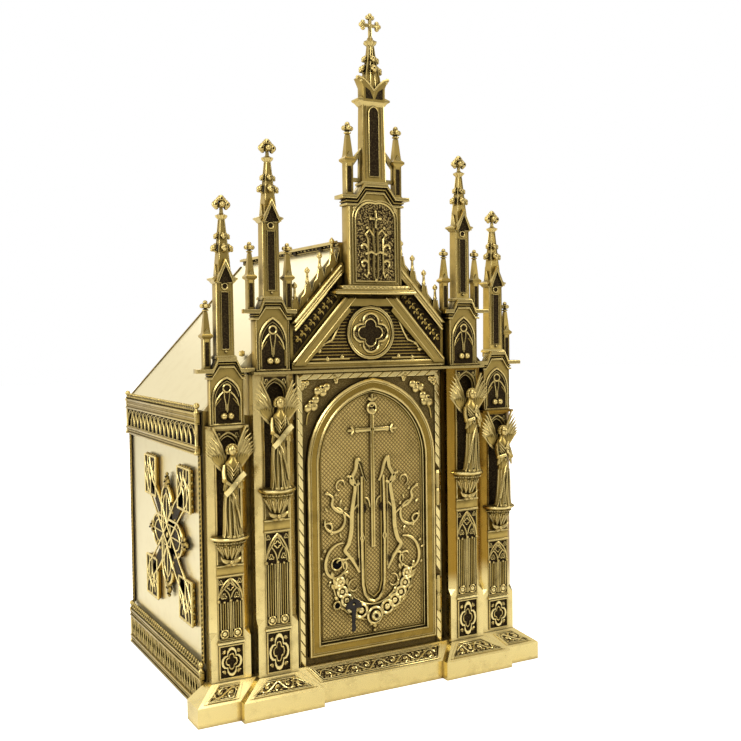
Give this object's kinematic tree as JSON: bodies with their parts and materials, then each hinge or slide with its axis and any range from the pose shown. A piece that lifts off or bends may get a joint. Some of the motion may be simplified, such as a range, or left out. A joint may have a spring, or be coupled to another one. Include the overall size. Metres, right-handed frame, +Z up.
{
  "type": "altar tabernacle",
  "caption": "Gothic altar tabernacle in gilt brass: gabled cabinet with a hinged arched door, buttress pillars, angels on corbels, canopy towers and a central spire.",
  "frame": {"origin": "centre of the footprint on the plane it stands on", "axes": "+Z up, +X to the right as seen from the front, -Y towards the viewer in front of the door"},
  "size_m": [0.48, 0.3682, 0.8353],
  "materials": {
    "gilt": "polished",
    "antique": "satin with dark recesses",
    "dark": "stippled and patinated",
    "steel": "dull"
  },
  "bodies": {
    "cabinet": {"base_plinth": "gilt", "cabinet_shell": "gilt", "roof": "gilt", "roof_crown": "antique", "rear_verge_trim": "antique", "rear_frame": "gilt", "front_plate": "antique", "door_surround": "dark", "upper_hinge_fixed_knuckle": "antique", "lower_hinge_fixed_knuckle": "antique", "impost_moulding": "gilt", "inner_left_pillar": "gilt", "outer_left_pillar": "gilt", "inner_left_tower": "antique", "outer_left_tower": "antique", "inner_left_corbel": "antique", "outer_left_corbel": "antique", "inner_left_angel": "antique", "outer_left_angel": "antique", "inner_right_pillar": "gilt", "outer_right_pillar": "gilt", "inner_right_tower": "antique", "outer_right_tower": "antique", "inner_right_corbel": "antique", "outer_right_corbel": "antique", "inner_right_angel": "antique", "outer_right_angel": "antique", "gable": "antique", "rose_window": "gilt", "right_cresting": "antique", "left_cresting": "antique", "central_tower": "antique", "right_lower_frieze": "antique", "left_lower_frieze": "antique", "right_upper_frieze": "antique", "left_upper_frieze": "antique", "right_front_bead_strip": "antique", "left_front_bead_strip": "antique", "right_rear_bead_strip": "antique", "left_rear_bead_strip": "antique", "right_side_ornament": "antique", "left_side_ornament": "antique", "right_roof_knob": "antique", "left_roof_knob": "antique"},
    "door": {"door": "antique", "door_relief": "gilt", "door_swag": "gilt", "door_boss": "gilt", "door_key": "steel", "upper_hinge_door_knuckle": "antique", "lower_hinge_door_knuckle": "antique"}
  },
  "joints": [
    {"name": "door_hinge", "type": "hinge", "parent": "cabinet", "child": "door", "pos_m": [0.0955, -0.15065, 0.175], "axis": [0, 0, 1], "range_deg": [0, 100]}
  ]
}
